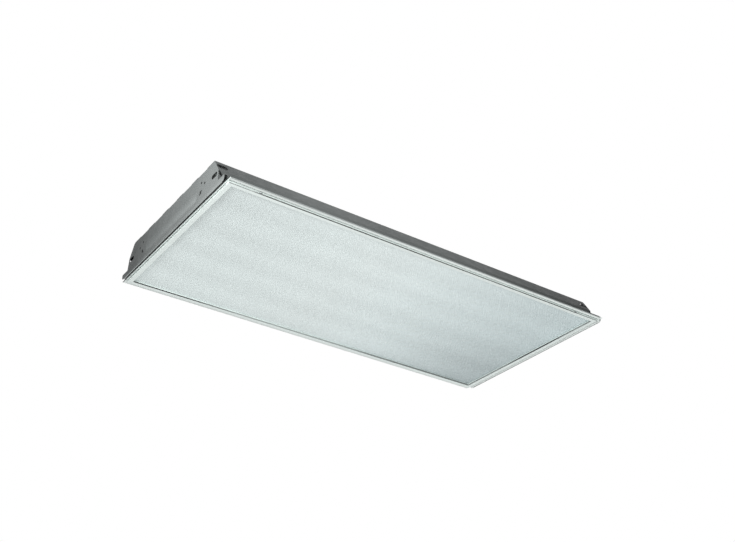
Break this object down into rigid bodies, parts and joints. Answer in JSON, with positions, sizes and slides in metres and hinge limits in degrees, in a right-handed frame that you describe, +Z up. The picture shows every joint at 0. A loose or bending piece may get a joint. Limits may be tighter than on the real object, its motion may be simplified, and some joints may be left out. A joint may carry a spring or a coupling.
{
  "type": "recessed troffer light",
  "caption": "Lay-in ceiling light: shallow ribbed steel housing, flush mitred door with a prismatic lens that swings down, two tube lamps inside.",
  "frame": {"origin": "centre of the door frame's lower face, in plan the centre of the housing", "axes": "+X along the lamps, +Y towards the hinged long side, +Z up into the ceiling"},
  "size_m": [1.2128, 0.6032, 0.0934],
  "materials": {
    "housing_steel": "satin grey-white enamel on steel",
    "white_enamel": "white baked enamel, semi-gloss",
    "inner_white": "white reflective enamel",
    "ballast_case": "satin steel case",
    "zinc_steel": "zinc-plated",
    "lead_insulation": "satin PVC",
    "pad_fibre": "black vulcanised fibre",
    "holder_plastic": "moulded thermoplastic",
    "lamp_glass": "phosphor-coated glass",
    "cap_aluminium": "satin",
    "pin_brass": "bright",
    "prismatic_acrylic": "clear prismatic acrylic, seen as a pale translucent sheet"
  },
  "bodies": {
    "housing": {"housing_top": "housing_steel", "side_rail_near": "housing_steel", "side_rail_far": "housing_steel", "end_plate_left": "housing_steel", "end_plate_right": "housing_steel", "end_trim_left": "white_enamel", "end_trim_right": "white_enamel", "access_plate": "housing_steel", "access_screws": "zinc_steel", "ballast": "ballast_case", "ballast_bolts": "zinc_steel", "ballast_cover": "inner_white", "cover_screws": "zinc_steel", "ballast_leads_left": "lead_insulation", "ballast_leads_right": "lead_insulation", "holder_leads_left": "lead_insulation", "holder_leads_right": "lead_insulation", "holder_pads_left": "pad_fibre", "holder_pads_right": "pad_fibre", "ground_screw": "zinc_steel", "socket_bar_left": "inner_white", "socket_bar_right": "inner_white", "lampholder_left_near": "holder_plastic", "lampholder_left_far": "holder_plastic", "lampholder_right_near": "holder_plastic", "lampholder_right_far": "holder_plastic", "hinge_bracket_left": "zinc_steel", "hinge_bracket_right": "zinc_steel"},
    "door": {"door_rail_near": "white_enamel", "door_rail_far": "white_enamel", "door_rail_left": "white_enamel", "door_rail_right": "white_enamel", "corner_keys": "zinc_steel", "lens": "prismatic_acrylic", "lens_clips": "zinc_steel", "hinge_pin_left": "zinc_steel", "hinge_pin_right": "zinc_steel", "hinge_ears_left": "zinc_steel", "hinge_ears_right": "zinc_steel"},
    "latch_left": {"latch_left": "zinc_steel"},
    "latch_right": {"latch_right": "zinc_steel"},
    "lamp_near": {"lamp_tube_near": "lamp_glass", "lamp_caps_near": "cap_aluminium", "lamp_pins_near": "pin_brass", "rotor_left_near": "holder_plastic", "rotor_right_near": "holder_plastic"},
    "lamp_far": {"lamp_tube_far": "lamp_glass", "lamp_caps_far": "cap_aluminium", "lamp_pins_far": "pin_brass", "rotor_left_far": "holder_plastic", "rotor_right_far": "holder_plastic"}
  },
  "joints": [
    {"name": "door_hinge", "type": "hinge", "parent": "housing", "child": "door", "pos_m": [0, 0.2835, 0.0035], "axis": [1, 0, 0], "range_deg": [0, 90]},
    {"name": "latch_left_turn", "type": "hinge", "parent": "door", "child": "latch_left", "pos_m": [-0.51, -0.2834, 0.006], "axis": [0, 0, 1], "range_deg": [0, 90]},
    {"name": "latch_right_turn", "type": "hinge", "parent": "door", "child": "latch_right", "pos_m": [0.51, -0.2834, 0.006], "axis": [0, 0, -1], "range_deg": [0, 90]},
    {"name": "lamp_near_twist", "type": "hinge", "parent": "housing", "child": "lamp_near", "pos_m": [0, -0.165, 0.045], "axis": [1, 0, 0], "range_deg": [0, 90]},
    {"name": "lamp_far_twist", "type": "hinge", "parent": "housing", "child": "lamp_far", "pos_m": [0, 0.165, 0.045], "axis": [1, 0, 0], "range_deg": [0, 90]}
  ]
}
